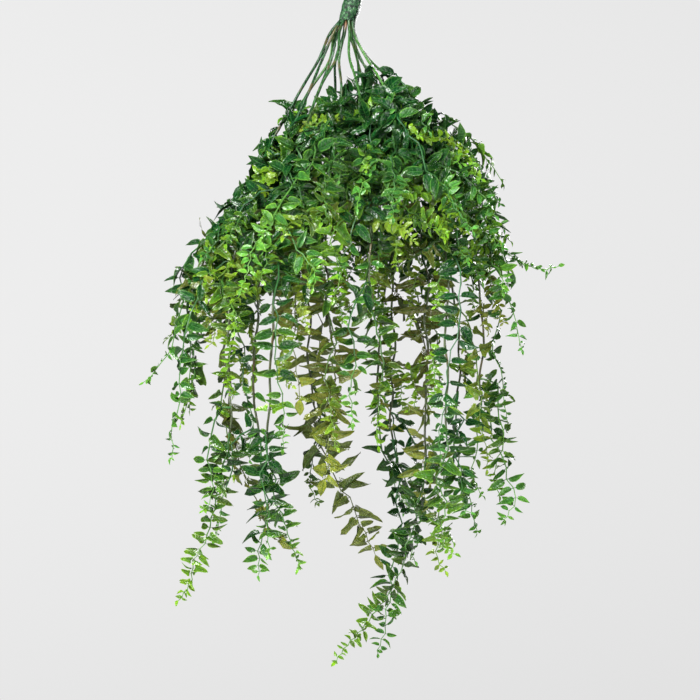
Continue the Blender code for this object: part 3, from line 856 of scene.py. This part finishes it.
def leaf_material(name, upper):
    tints = bpy.context.scene.fern_leaves
    old = [tuple(tint) for tint in (tints.old_blue, tints.old_green, tints.old_olive)]
    young = [tuple(tint) for tint in (tints.young_blue, tints.young_green, tints.young_olive)]
    if not upper:
        dull = (0.030, 0.095, 0.016)
        old = [tuple(0.6 * c + 0.4 * d for c, d in zip(tint, dull)) for tint in old]
        young = [tuple(0.7 * c for c in tint) for tint in young]
    made, tree, shader = new_material(name)
    grid = node(tree, "UVMap", uv_map="leaf_uv").outputs[0]
    axes = node(tree, "SeparateXYZ", {0: grid})
    across = maths(tree, "ABSOLUTE", maths(tree, "MULTIPLY_ADD", axes.outputs[0], 2.0, -1.0))
    colour, place, age, tone = leaf_colour(tree, old + young)
    rim = ranged(tree, across, 0.72, 0.98, 0.0, 0.80, True)
    edge = maths(tree, "ADD", rim, ranged(tree, axes.outputs[1], 0.55, 1.0, 0.0, 0.45, True))
    edge = times(tree, edge, ranged(tree, age, 0.0, 0.5, 0.18, 1.0))
    fresh = [(0.0, (0.165, 0.390, 0.036)), (0.5, (0.275, 0.490, 0.018)), (1.0, (0.220, 0.240, 0.026))]
    colour = mixed(tree, edge, colour, ramp(tree, tone, fresh))
    midrib = ranged(tree, across, 0.04, 0.12, 1.0, 0.0, True)
    slant = maths(tree, "SUBTRACT", times(tree, axes.outputs[1], 8.0), times(tree, across, 1.6))
    wave = maths(tree, "ABSOLUTE", maths(tree, "MULTIPLY_ADD", maths(tree, "FRACT", slant), 2.0, -1.0))
    veins = ranged(tree, wave, 0.72, 0.95, 0.0, 1.0, True)
    margin = ranged(tree, across, 0.88, 0.99, 0.0, 1.0, True)
    pale = mixed(tree, 0.35, colour, (0.14, 0.46, 0.10))
    finer = maths(tree, "MAXIMUM", times(tree, veins, 0.35), times(tree, margin, 0.5))
    lines = maths(tree, "MAXIMUM", times(tree, midrib, 0.8), finer)
    colour = mixed(tree, times(tree, lines, 1.0 if upper else 0.6), colour, pale)
    grain = noisy(tree, place, 420.0, 2.0)
    colour = shaded(tree, colour, grain, (0.35, 0.86), (0.65, 1.12))
    rough = ranged(tree, grain, 0.25, 0.75, 0.13 if upper else 0.34, 0.30 if upper else 0.55)
    pucker = noisy(tree, place, 190.0, 1.0)
    sunk = times(tree, maths(tree, "MAXIMUM", midrib, veins), -0.45 if upper else 0.45)
    height = maths(tree, "ADD", sunk, times(tree, grain, 0.35))
    height = maths(tree, "ADD", height, times(tree, pucker, 1.6))
    connect(tree, shader, colour, rough, height, 0.0012, 0.9)
    shader.inputs["Specular IOR Level"].default_value = 0.5
    return made


def rib_material():
    made, tree, shader = new_material("rib_plastic")
    stops = [(0.016, 0.100, 0.026), (0.032, 0.115, 0.015), (0.040, 0.050, 0.012)]
    stops += [(0.140, 0.370, 0.045), (0.175, 0.390, 0.032), (0.200, 0.260, 0.036)]
    colour, place, _, _ = leaf_colour(tree, stops)
    grain = noisy(tree, place, 600.0, 2.0)
    connect(tree, shader, colour, ranged(tree, grain, 0.2, 0.8, 0.38, 0.55), grain, 0.0002, 0.5)
    return made


def wire_material():
    """Plastic-coated wire: lengthwise streaks, partly its own colour and partly painted highlights,
    brownish patches and fresher greens, and rust at the wrap's mouth.
    """
    made, tree, shader = new_material("coated_wire")
    base = tuple(bpy.context.scene.fern_trunk.wire_colour)
    place = node(tree, "TexCoord").outputs["Object"]
    streak_and_highlight = noisy(tree, drawn(tree, place, 0.12), 700.0, 3.0)
    patch = noisy(tree, place, 45.0, 2.0)
    # The light ends of these streaks are partly painted highlights: lighter lines along the wire that stand
    # for glints of the lamps.
    dark, light = tuple(0.25 * c for c in base), tuple(min(1, 2.6 * c) for c in base)
    colour = ramp(tree, streak_and_highlight, [(0.32, dark), (0.50, base), (0.66, light)])
    green = ramp(tree, streak_and_highlight, [(0.35, (0.035, 0.120, 0.018)), (0.65, (0.095, 0.270, 0.045))])
    colour = mixed(tree, times(tree, painted(tree, "age"), 0.9), colour, green)
    axes = node(tree, "SeparateXYZ", {0: place})
    lower = ranged(tree, axes.outputs[2], -0.26, -0.34, 0.0, 0.8)
    # Lower down as well, the light streaks are partly painted highlights.
    brown = ramp(tree, streak_and_highlight, [(0.35, (0.020, 0.022, 0.010)), (0.65, (0.130, 0.150, 0.080))])
    colour = mixed(tree, lower, colour, brown)
    colour = mixed(tree, ranged(tree, patch, 0.58, 0.68, 0.0, 0.70), colour, (0.110, 0.075, 0.030))
    colour = mixed(tree, painted(tree, "tone"), colour, (0.330, 0.150, 0.070))
    connect(tree, shader, colour, ranged(tree, streak_and_highlight, 0.3, 0.7, 0.14, 0.34), streak_and_highlight, 0.0008, 1.0)
    shader.inputs["Specular IOR Level"].default_value = 0.3
    return made


def tape_material():
    """Crepe paper tape: fine wrinkles across it, with painted shade in their creases and painted light on
    their ridges, waxy sheen, and mottled greens.
    """
    made, tree, shader = new_material("green_crepe_tape")
    base = tuple(bpy.context.scene.fern_trunk.tape_colour)
    place = node(tree, "TexCoord").outputs["Object"]
    wrinkle_and_shade = noisy(tree, drawn(tree, place, 0.14, turn=(0.25, 0.1, 0)), 1500.0, 3.0)
    cloud = noisy(tree, place, 300.0, 4.0)
    dark, light = tuple(0.15 * c for c in base), (0.048, 0.142, 0.050)
    colour = ramp(tree, cloud, [(0.40, dark), (0.50, base), (0.62, light)])
    # Painted shade and light: the colour is darkened where the wrinkles sink and lightened where they rise,
    # as the lamps would shade and light them.
    colour = shaded(tree, colour, wrinkle_and_shade, (0.3, 0.70), (0.7, 1.30))
    height = maths(tree, "ADD", times(tree, wrinkle_and_shade, 0.6), times(tree, cloud, 0.8))
    connect(tree, shader, colour, ranged(tree, cloud, 0.35, 0.65, 0.40, 0.16), height, 0.0016, 0.9)
    shader.inputs["Specular IOR Level"].default_value = 0.35
    return made


def steel_material():
    made, tree, shader = new_material("drawn_steel")
    place = node(tree, "TexCoord").outputs["Object"]
    line = noisy(tree, drawn(tree, place, 0.05), 2500.0, 2.0)
    colour = ramp(tree, line, [(0.3, (0.34, 0.34, 0.35)), (0.7, (0.55, 0.55, 0.56))])
    connect(tree, shader, colour, ranged(tree, line, 0.3, 0.7, 0.28, 0.45), line, 0.0001, 0.4)
    shader.inputs["Metallic"].default_value = 1.0
    return made


FINISHES = {}


def finish(name):
    makers = {
        "leaf_upper": lambda: leaf_material("leaf_upper_side", True),
        "leaf_under": lambda: leaf_material("leaf_under_side", False),
        "rib": rib_material,
        "wire": wire_material,
        "tape": tape_material,
        "steel": steel_material,
    }
    if name not in FINISHES:
        FINISHES[name] = makers[name]()
    return FINISHES[name]


def foliage():
    return [finish("leaf_upper"), finish("leaf_under"), finish("rib")]


# ---- Pieces ----

TAPE_COLUMNS = 40
# One turn of tape from its upper edge to its lower: (share of the pitch, how far it stands off, in steps).
TAPE_SECTION = ((0.00, 0.15), (0.07, 1.00), (0.35, 0.92), (0.68, 0.60), (0.95, 0.30))
TAPE_SWELL = 0.0006  # how much thicker the wrap is lower down
SWELL_DEPTH = 0.038  # where it starts to thicken
TAPE_NARROWING = 0.0010  # how much slimmer it gets towards its mouth
TAPE_CHANGE = 0.010  # the length over which it does either
TAPE_LUMPS = 0.00085  # how far the tape's lumps stand out
TAPE_CREASES = 0.00040  # and its creases


class FERN_OT_tape_wrap(bpy.types.Operator):
    """Winds the crepe tape round the trunk"""

    bl_idname = "fern.tape_wrap"
    bl_label = "Wind the tape"

    def execute(self, context):
        pitch, step = context.scene.fern_trunk.tape_pitch, context.scene.fern_trunk.tape_step
        turns = math.ceil(TRUNK_LENGTH / pitch) + 2
        rows = turns * len(TAPE_SECTION)
        bm = bmesh.new()
        bmesh.ops.create_grid(bm, x_segments=TAPE_COLUMNS, y_segments=rows, size=1.0)
        for vert in bm.verts:
            column = (vert.co.x + 1) / 2
            turn, part = divmod(round((vert.co.y + 1) / 2 * rows), len(TAPE_SECTION))
            share, stand = TAPE_SECTION[part]
            depth = (turn - 1 + share - column) * pitch
            angle = column * math.tau
            axis = trunk_axis(depth)
            swell = TAPE_SWELL * eased(clamped((depth - SWELL_DEPTH) / TAPE_CHANGE))
            swell -= TAPE_NARROWING * eased(clamped((depth - TRUNK_LENGTH + TAPE_CHANGE) / TAPE_CHANGE))
            way = Vector((math.cos(angle), math.sin(angle), 0))
            lump = noise.noise(Vector((way.x * 1.6, way.y * 1.6, depth * 90))) * TAPE_LUMPS
            fine = noise.noise(Vector((way.x * 6, way.y * 6, depth * 400))) * TAPE_CREASES
            vert.co = axis + way * (WRAP_RADIUS - TAPE_SWELL + step * stand + swell + lump + fine)
        bmesh.ops.remove_doubles(bm, verts=bm.verts, dist=2e-5)
        for depth, up in ((0.0, 1), (TRUNK_LENGTH, -1)):
            whole = bm.verts[:] + bm.edges[:] + bm.faces[:]
            cut = bmesh.ops.bisect_plane(
                bm, geom=whole, plane_co=(0, 0, -depth), plane_no=(0, 0, up), clear_outer=True
            )["geom_cut"]
            rim = [item for item in cut if isinstance(item, bmesh.types.BMEdge)]
            if up > 0:
                bmesh.ops.edgeloop_fill(bm, edges=rim)
        for target in (TRUNK_LENGTH, 0.5 * TRUNK_LENGTH, WRAP_END):
            verts, rim, _ = drawn_out(bm, rim)
            centre = trunk_axis(target)
            for vert in verts:
                before = trunk_axis(-vert.co.z)
                way = Vector((vert.co.x - before.x, vert.co.y - before.y, 0)).normalized()
                vert.co = centre + way * WRAP_BORE
        bmesh.ops.edgeloop_fill(bm, edges=rim)
        bmesh.ops.recalc_face_normals(bm, faces=bm.faces)
        add_piece("bound_tape", bm, [finish("tape")], "tape_wrap", sharp=60)
        return {"FINISHED"}


class FERN_OT_core_rod(bpy.types.Operator):
    """Gives the core rod its drawn steel finish"""

    bl_idname = "fern.core_rod"
    bl_label = "Finish the core rod"

    def execute(self, context):
        rod = frame["nodes"]["core_rod"]
        rod.data.materials.clear()
        rod.data.materials.append(finish("steel"))
        return {"FINISHED"}


class FERN_OT_wire_stems(bpy.types.Operator):
    """Draws the coated wire stems"""

    bl_idname = "fern.wire_stems"
    bl_label = "Draw the stems"

    def execute(self, context):
        for label, stem in STEMS.items():
            rng = random.Random(f"wire {label}")
            offset = heading(stem.azimuth, 0) * stem.ring
            depths = [WRAP_END + GAP + (TRUNK_LENGTH - 0.004) * i / 9 for i in range(10)]
            inside = [trunk_axis(depth) + offset for depth in depths]
            line = Line(inside + BELOW_WRAP[label])
            count = round(line.length / WIRE_STEP)
            route = line.spaced(count)
            phase = rng.uniform(0, 9)
            radii = []
            stout = 1.06 + 0.12 * leftness(heading(stem.azimuth, 0))
            for i in range(count):
                lump = 0.10 * noise.noise(Vector((i * 0.35, phase, 0)))
                below = (-route[i].z - TRUNK_LENGTH) / WIRE_SLEEVE
                sleeve = SLEEVE_SWELL * (1 - below) if 0 < below < 1 else 0
                radii.append(stem_radius(i / (count - 1)) * (stout + lump + sleeve))
            for _ in range(KNOTS):
                radii[rng.randrange(FIRST_KNOT, count - 4)] *= KNOT_SWELL
            bm = new_growth()
            fresh = rng.choice((0.05, 0.25, 0.60, 1.0))
            rusty = 1.0 if stem.ring == INNER_RING else 0.0
            for place, ring in zip(route, sweep(bm, route, radii, sides=10)):
                crown = clamped((-place.z - 0.06) / 0.04) * clamped((0.32 + place.z) / 0.08, 0.1)
                rust = rusty * max(0, 1 - abs(-place.z - TRUNK_LENGTH - 0.004) / 0.009)
                paint(bm, ring, fresh * crown, rust)
            add_piece(f"wire_{label}", bm, [finish("wire")], f"stem_{label}")
        return {"FINISHED"}


class FERN_OT_leaf_sprays(bpy.types.Operator):
    """Grows the moulded leaf sprays, three to a stem"""

    bl_idname = "fern.leaf_sprays"
    bl_label = "Grow the leaf sprays"

    def execute(self, context):
        for spray in SPRAYS:
            label = f"{spray.stem}_{spray.place}"
            rng = random.Random(f"spray {label}")
            bm = new_growth()
            route = spray_route(spray)
            taper = 4.0
            if spray.place == "end":
                taper = 7.0 if spray.kind == "ovate" else 2.4
            middle = route[len(route) // 2]
            tone = 0 if spray.kind == "olive" else tone_shift(middle)
            apart = 1.22 if spray.place == "hanging" else 1.0
            age = young_part(middle)
            leaf_out(bm, Line(route), spray.kind, rng, 0.009, age, tone, taper=taper, apart=apart)
            add_piece(f"leaf_spray_{label}", bm, foliage(), f"spray_{label}")
        return {"FINISHED"}


# The bunch's outline, which is how far leaf tips stand from the trunk: (on the right, on the left, depth).
ENVELOPE = (
    (0.060, 0.030, 0.115),
    (0.086, 0.044, 0.132),
    (0.103, 0.066, 0.155),
    (0.131, 0.082, 0.178),
    (0.158, 0.087, 0.201),
    (0.166, 0.098, 0.224),
    (0.181, 0.124, 0.247),
    (0.198, 0.144, 0.270),
    (0.204, 0.160, 0.293),
    (0.206, 0.176, 0.316),
    (0.206, 0.198, 0.362),
    (0.206, 0.206, 0.900),
)
LEAF_ROOM = 0.018  # how far within the outline the shoots end
FRONT_ROOM = 0.008  # how far within the solids' box they end, at the front
BACK_ROOM = 0.016
LOOSE_DEPTH = 0.34  # leaves hang loose below this depth, inside the outline or not


def foliage_reach(azimuth, depth):
    """How far leaf tips stand from the trunk here."""
    left = leftness(heading(azimuth, 0))
    for (right_a, left_a, a), (right_b, left_b, b) in zip(ENVELOPE, ENVELOPE[1:]):
        if depth < b:
            share = max(0, (depth - a) / (b - a))
            above = right_a + (left_a - right_a) * left
            below = right_b + (left_b - right_b) * left
            return above * (1 - share) + below * share
    return ENVELOPE[-1][0]


def off_trunk(place):
    """The level way from the trunk's lower end to a place, and how far the outline is that way."""
    way = Vector((place.x + TRUNK_LEAN, place.y, 0))
    return way, foliage_reach(math.degrees(math.atan2(way.y, way.x)), -place.z)


def stands_out(tip):
    """Whether a leaf's tip is outside the bunch's outline, above its loose strands."""
    way, reach = off_trunk(tip)
    return -tip.z < LOOSE_DEPTH and way.length > reach


def kept_in(place, least):
    """Draws a place on a shoot in towards the trunk: inside the outline, or to the least distance given."""
    way, reach = off_trunk(place)
    limit = max(least, reach - LEAF_ROOM)
    if way.length > limit:
        place = place - way * (1 - limit / way.length)
    place.y = clamped(place.y, CAD_BOX[0].y + FRONT_ROOM, CAD_BOX[1].y - BACK_ROOM)
    return place


CROWN_SHOOTS = 14  # about how many a stem has: a fifth more on the right, and slightly fewer on the left
CROWN_TOP = 0.160  # depth of its highest shoots' tips
CROWN_DEPTH = 0.380  # depth of its lowest shoots' tips
LEFT_DEEPER = 0.070  # how much deeper those hang on the left
CROWN_RAGGED = 0.090  # how uneven its lower edge is
OUTER_TURN = 28  # how far shoots turn off their stem's azimuth, as a rule: on the outer stems
INNER_TURN = 70  # and on the inner ones
ROOT_PITCH = (-10, 45)  # degrees below the horizontal
TIP_PITCH = (20, 88)
LEAST_STAND = 0.006  # how far a shoot may always stand out from its foot, whatever the outline
SHOOT_TONE = 0.12  # how far shoots differ in tone, as a rule
SHOOT_INWARDS = 0.7  # how far the tip may lie from the outline towards the trunk, as a share
FEATHER_INWARDS = 0.1
SHOOT_RISE = (0.045, 0.085)  # how far its foot lies above its tip
FEATHER_RISE = (0.020, 0.035)
END_SHOOTS = 1  # longer ones, from the last part of each stem
END_LENGTH = (0.12, 0.16)
DEEP_END_LENGTH = (0.12, 0.22)  # on stems that hang deeper than this:
DEEP_DROP = 0.545
FEATHERS = 2  # short feathery shoots on the lower part of each stem
FEATHER_LENGTH = (0.045, 0.075)
OWN_FROM = 0.46  # share of a stem's length below the wrap where leaves of its own start, on the right
OWN_LEFT = 0.04  # how much further down they start on the left
HIGHEST_FOOT = 0.126  # depth above which no shoot of the crown sets out, on the right
FOOT_LEFT = 0.042  # how much deeper that is on the left
FOOT_FRONT = 0.040  # and at the front

OUTLINE_YOUNG = 0.68  # how much younger the foliage is at the bunch's right outline
LOW_YOUNG = 0.24  # how much younger it is in the hanging strands
LOWEST_OLDER = 0.16  # how much less so in the lowest of them
YOUNG_MOTTLE = 0.35
YOUNG_SHIFT = 0.22  # how much older all of it is
# Where the foliage in front is youngest and palest: (right, depth, radius, how much younger).
YOUNG_PATCHES = (
    (-0.076, 0.256, 0.024, 0.75),
    (0.000, 0.298, 0.040, 0.60),
    (0.070, 0.290, 0.025, 0.40),
    (0.124, 0.275, 0.030, 0.40),
    (0.190, 0.290, 0.035, 0.35),
    (-0.050, 0.360, 0.040, 0.30),
)


def young_part(place):
    """How much younger the foliage is here: in patches at the front, on the right outline, and low down."""
    depth = -place.z
    front = 0.5 - place.y / 0.3
    patches = sum(
        more * math.exp(-((place.x - x) ** 2 + (depth - deep) ** 2) / radius**2)
        for x, deep, radius, more in YOUNG_PATCHES
    )
    outline = clamped((place.x + TRUNK_LEAN) / foliage_reach(0, depth) * 3 - 2)
    low = LOW_YOUNG * clamped((depth - 0.30) / 0.15) - LOWEST_OLDER * clamped((depth - 0.60) / 0.06)
    mottle = YOUNG_MOTTLE * noise.noise(place * 14)
    return patches * front + OUTLINE_YOUNG * outline + low + mottle - YOUNG_SHIFT


def tone_shift(place):
    """How much more yellow the foliage is here: most of all low down, and least on the crown's right."""
    low = clamped((-place.z - 0.24) / 0.12)
    middle = math.exp(-((place.x - 0.01) ** 2 + (place.z + 0.235) ** 2) / 0.05**2)
    across = 0.7 * place.x * (1 - 0.9 * low)
    return 0.28 * low - 0.24 - across - 0.15 * middle + 0.45 * noise.noise(place * 9)


class FERN_OT_side_shoots(bpy.types.Operator):
    """Fills each stem with side shoots and with leaves of its own"""

    bl_idname = "fern.side_shoots"
    bl_label = "Grow the side shoots"

    def execute(self, context):
        for label, stem in STEMS.items():
            rng = random.Random(f"shoots {label}")
            bm = new_growth()
            count = round(CROWN_SHOOTS * (1.22 - 0.27 * leftness(heading(stem.azimuth, 0))))
            for i in range(count):
                self.grow_crown_shoot(bm, label, stem, (i + rng.random()) / count, rng)
            for i in range(END_SHOOTS):
                self.grow_end_shoot(bm, label, stem, stem.azimuth + 180 * i + rng.uniform(-50, 50), rng)
            for i in range(FEATHERS):
                self.grow_feather(bm, label, 0.58 + 0.32 * (i + rng.random()) / FEATHERS, rng)
            below = Line(BELOW_WRAP[label])
            start = below.length * (OWN_FROM + OWN_LEFT * leftness(heading(stem.azimuth, 0)))
            own = Line([below.read(start + (below.length - start) * i / 60)[0] for i in range(61)])
            full, apart = (1.0, 2.2) if stem.kind == "olive" else (0.90, 6.0)
            leaf_out(bm, own, stem.kind, rng, 0.0, last=0.017, rib=False, full=full, apart=apart)
            add_piece(f"side_shoots_{label}", bm, foliage())
        return {"FINISHED"}

    def grow_crown_shoot(self, bm, label, stem, share, rng):
        """A shoot whose tip lies somewhere in the crown, outside its stem."""
        left = leftness(heading(stem.azimuth, 0))
        common = "ivy" if left > 0.6 else "ovate"
        kind = rng.choice(("ovate", common, common, "ivy", "feather"))
        azimuth = stem.azimuth + rng.gauss(0, OUTER_TURN if stem.ring == OUTER_RING else INNER_TURN)
        ragged = CROWN_RAGGED * noise.noise(heading(azimuth, 0) * 4)
        lowest = CROWN_DEPTH + LEFT_DEEPER * max(0, 2 * left - 1) + ragged
        depth = CROWN_TOP + (lowest - CROWN_TOP) * share**0.8
        inwards = FEATHER_INWARDS if kind == "feather" else SHOOT_INWARDS
        reach = (foliage_reach(azimuth, depth) - LEAF_ROOM) * (1 - inwards * rng.random() ** 2.5)
        tip = trunk_axis(depth) + heading(azimuth, 0) * reach
        rise = rng.uniform(*(FEATHER_RISE if kind == "feather" else SHOOT_RISE))
        below = BELOW_WRAP[label]
        front = max(0, -math.sin(math.radians(stem.azimuth)))
        highest = HIGHEST_FOOT + FOOT_LEFT * left + FOOT_FRONT * front
        index = next(i for i, place in enumerate(below) if -place.z > max(depth - rise, highest))
        self.grow_shoot(bm, label, index / (len(below) - 1), azimuth, tip, kind, rng)

    def grow_end_shoot(self, bm, label, stem, azimuth, rng):
        length = rng.uniform(*(DEEP_END_LENGTH if stem.drop > DEEP_DROP else END_LENGTH))
        share = rng.uniform(0.92, 0.99)
        foot = BELOW_WRAP[label][int(share * (STEM_SAMPLES - 1))]
        tip = foot + heading(azimuth, 0) * (length * rng.uniform(0.15, 0.5)) + DOWN * length
        kind = rng.choice(("ovate", "ivy"))
        self.grow_shoot(bm, label, share, azimuth, tip, kind, rng, full=0.9, apart=1.25)

    def grow_feather(self, bm, label, share, rng):
        azimuth, length = rng.uniform(0, 360), rng.uniform(*FEATHER_LENGTH)
        foot = BELOW_WRAP[label][int(share * (STEM_SAMPLES - 1))]
        tip = foot + heading(azimuth, 0) * (length * rng.uniform(0.2, 0.6)) + DOWN * length
        self.grow_shoot(bm, label, share, azimuth, tip, "feather", rng)

    def grow_shoot(self, bm, label, share, azimuth, tip, kind, rng, full=1.0, apart=1.0):
        foot, off, aim = rib_foot(label, share, heading(azimuth, rng.uniform(*ROOT_PITCH)))
        least = math.hypot(foot.x + TRUNK_LEAN, foot.y) + LEAST_STAND
        route = rib_route(foot, off, aim, kept_in(tip, least), (azimuth, rng.uniform(*TIP_PITCH)))
        route = route[:2] + [kept_in(place, least) for place in route[2:]]
        tone = tone_shift(tip) + rng.gauss(0, SHOOT_TONE)
        age = young_part(tip)
        leaf_out(bm, Line(route), kind, rng, 0.008, age, tone, full, taper=3.0, apart=apart)


# ---- Stage ----

FOCAL_LENGTH = 120.7  # the camera's, in millimetres
SENSOR_WIDTH = 36
CAMERA_PLACE = (-0.0069, -2.7, -0.44275)
MIDDLE = Vector((0, 0, -0.40))  # where the lights point
FLOOR_RADIUS = 4.2


class FERN_OT_stage(bpy.types.Operator):
    """Sets the camera, the soft lights, the plain surroundings and the floor"""

    bl_idname = "fern.stage"
    bl_label = "Set the stage"

    def execute(self, context):
        scene, stage = context.scene, context.scene.fern_stage
        scene.view_settings.view_transform = "Standard"
        camera = bpy.data.cameras.new("camera")
        camera.lens = FOCAL_LENGTH
        camera.sensor_width = SENSOR_WIDTH
        camera.clip_end = 50
        scene.camera = placed("camera", camera)
        scene.camera.location = CAMERA_PLACE
        scene.camera.rotation_euler = (math.radians(90), 0, 0)

        world = bpy.data.worlds.new("plain_surroundings")
        world.use_nodes = True
        scene.world = world
        tree = world.node_tree
        # Painted light: the surroundings that the camera sees are lightest on the left and a little above
        # the middle of the view, and darker away from there, most of all downwards and to the right, as a
        # painted falloff of the studio light. Other rays see them only at the glow's strength.
        way = node(tree, "TexCoord").outputs["Generated"]
        axes = node(tree, "SeparateXYZ", {0: way})
        height = maths(tree, "ADD", axes.outputs[2], -0.06)
        fall = times(tree, times(tree, height, height), -15.0)
        shade = maths(tree, "ADD", maths(tree, "MULTIPLY_ADD", axes.outputs[0], -1.5, 0.82), fall)
        low, high = stage.backdrop * 0.95, stage.backdrop * 1.06
        colour = ramp(tree, shade, [(0.0, (low,) * 3), (1.0, (high,) * 3)])
        seen = node(tree, "LightPath").outputs["Is Camera Ray"]
        strength = ranged(tree, seen, 0.0, 1.0, stage.glow, 1.0)
        tree.links.new(colour, tree.nodes["Background"].inputs["Color"])
        tree.links.new(strength, tree.nodes["Background"].inputs["Strength"])

        for name, place, size, energy in (
            ("main_light", (-1.2, -1.9, 0.75), 1.1, stage.key_power),
            ("side_light", (1.9, -1.2, 0.3), 1.3, stage.fill_power),
            ("low_light", (0.9, -2.1, -1.2), 1.2, stage.low_power),
            ("left_light", (-2.2, -0.9, 0.25), 1.3, stage.left_power),
            ("back_light", (0.9, 2.2, 0.3), 1.3, stage.back_power),
        ):
            light = bpy.data.lights.new(name, "AREA")
            light.size = size
            light.energy = energy
            lamp = placed(name, light)
            lamp.location = place
            lamp.rotation_euler = (MIDDLE - Vector(place)).to_track_quat("-Z", "Y").to_euler()
            lamp.visible_camera = False

        bm = bmesh.new()
        level = Matrix.Translation((0, 0, -stage.floor_depth))
        bmesh.ops.create_circle(bm, cap_ends=True, segments=96, radius=FLOOR_RADIUS, matrix=level)
        made, tree, shader = new_material("pale_floor")
        place = node(tree, "TexCoord").outputs["Object"]
        cloud = noisy(tree, place, 3.0, 3.0)
        colour = ramp(tree, cloud, [(0.3, (0.76,) * 3), (0.7, (0.80,) * 3)])
        tree.links.new(colour, shader.inputs["Base Color"])
        shader.inputs["Roughness"].default_value = 0.8
        floor = placed("floor", mesh_from("floor", bm))
        floor.data.materials.append(made)
        return {"FINISHED"}


# ---- Add-on ----


class FERN_PT_panel(bpy.types.Panel):
    """Lists the steps that build the fern spray"""

    bl_idname = "FERN_PT_panel"
    bl_label = "Fern spray"
    bl_space_type = "VIEW_3D"
    bl_region_type = "UI"
    bl_category = "Fern spray"

    def draw(self, context):
        for settings in (context.scene.fern_trunk, context.scene.fern_leaves, context.scene.fern_stage):
            for name in settings.__annotations__:
                self.layout.prop(settings, name)
        for operator in OPERATORS:
            self.layout.operator(operator.bl_idname)


SETTINGS = {
    "fern_trunk": FernTrunkSettings,
    "fern_leaves": FernLeafSettings,
    "fern_stage": FernStageSettings,
}
OPERATORS = (
    FERN_OT_tape_wrap,
    FERN_OT_core_rod,
    FERN_OT_wire_stems,
    FERN_OT_leaf_sprays,
    FERN_OT_side_shoots,
    FERN_OT_stage,
)


def register():
    for cls in (*SETTINGS.values(), *OPERATORS, FERN_PT_panel):
        bpy.utils.register_class(cls)
    for name, cls in SETTINGS.items():
        setattr(bpy.types.Scene, name, PointerProperty(type=cls))


def unregister():
    for name in SETTINGS:
        delattr(bpy.types.Scene, name)
    for cls in (FERN_PT_panel, *reversed(OPERATORS), *SETTINGS.values()):
        bpy.utils.unregister_class(cls)


def main():
    register()
    for operator in OPERATORS:
        group, name = operator.bl_idname.split(".")
        getattr(getattr(bpy.ops, group), name)()
    for variants in LEAVES.values():
        for mesh in variants:
            bpy.data.meshes.remove(mesh)


if __name__ == "__main__":
    main()
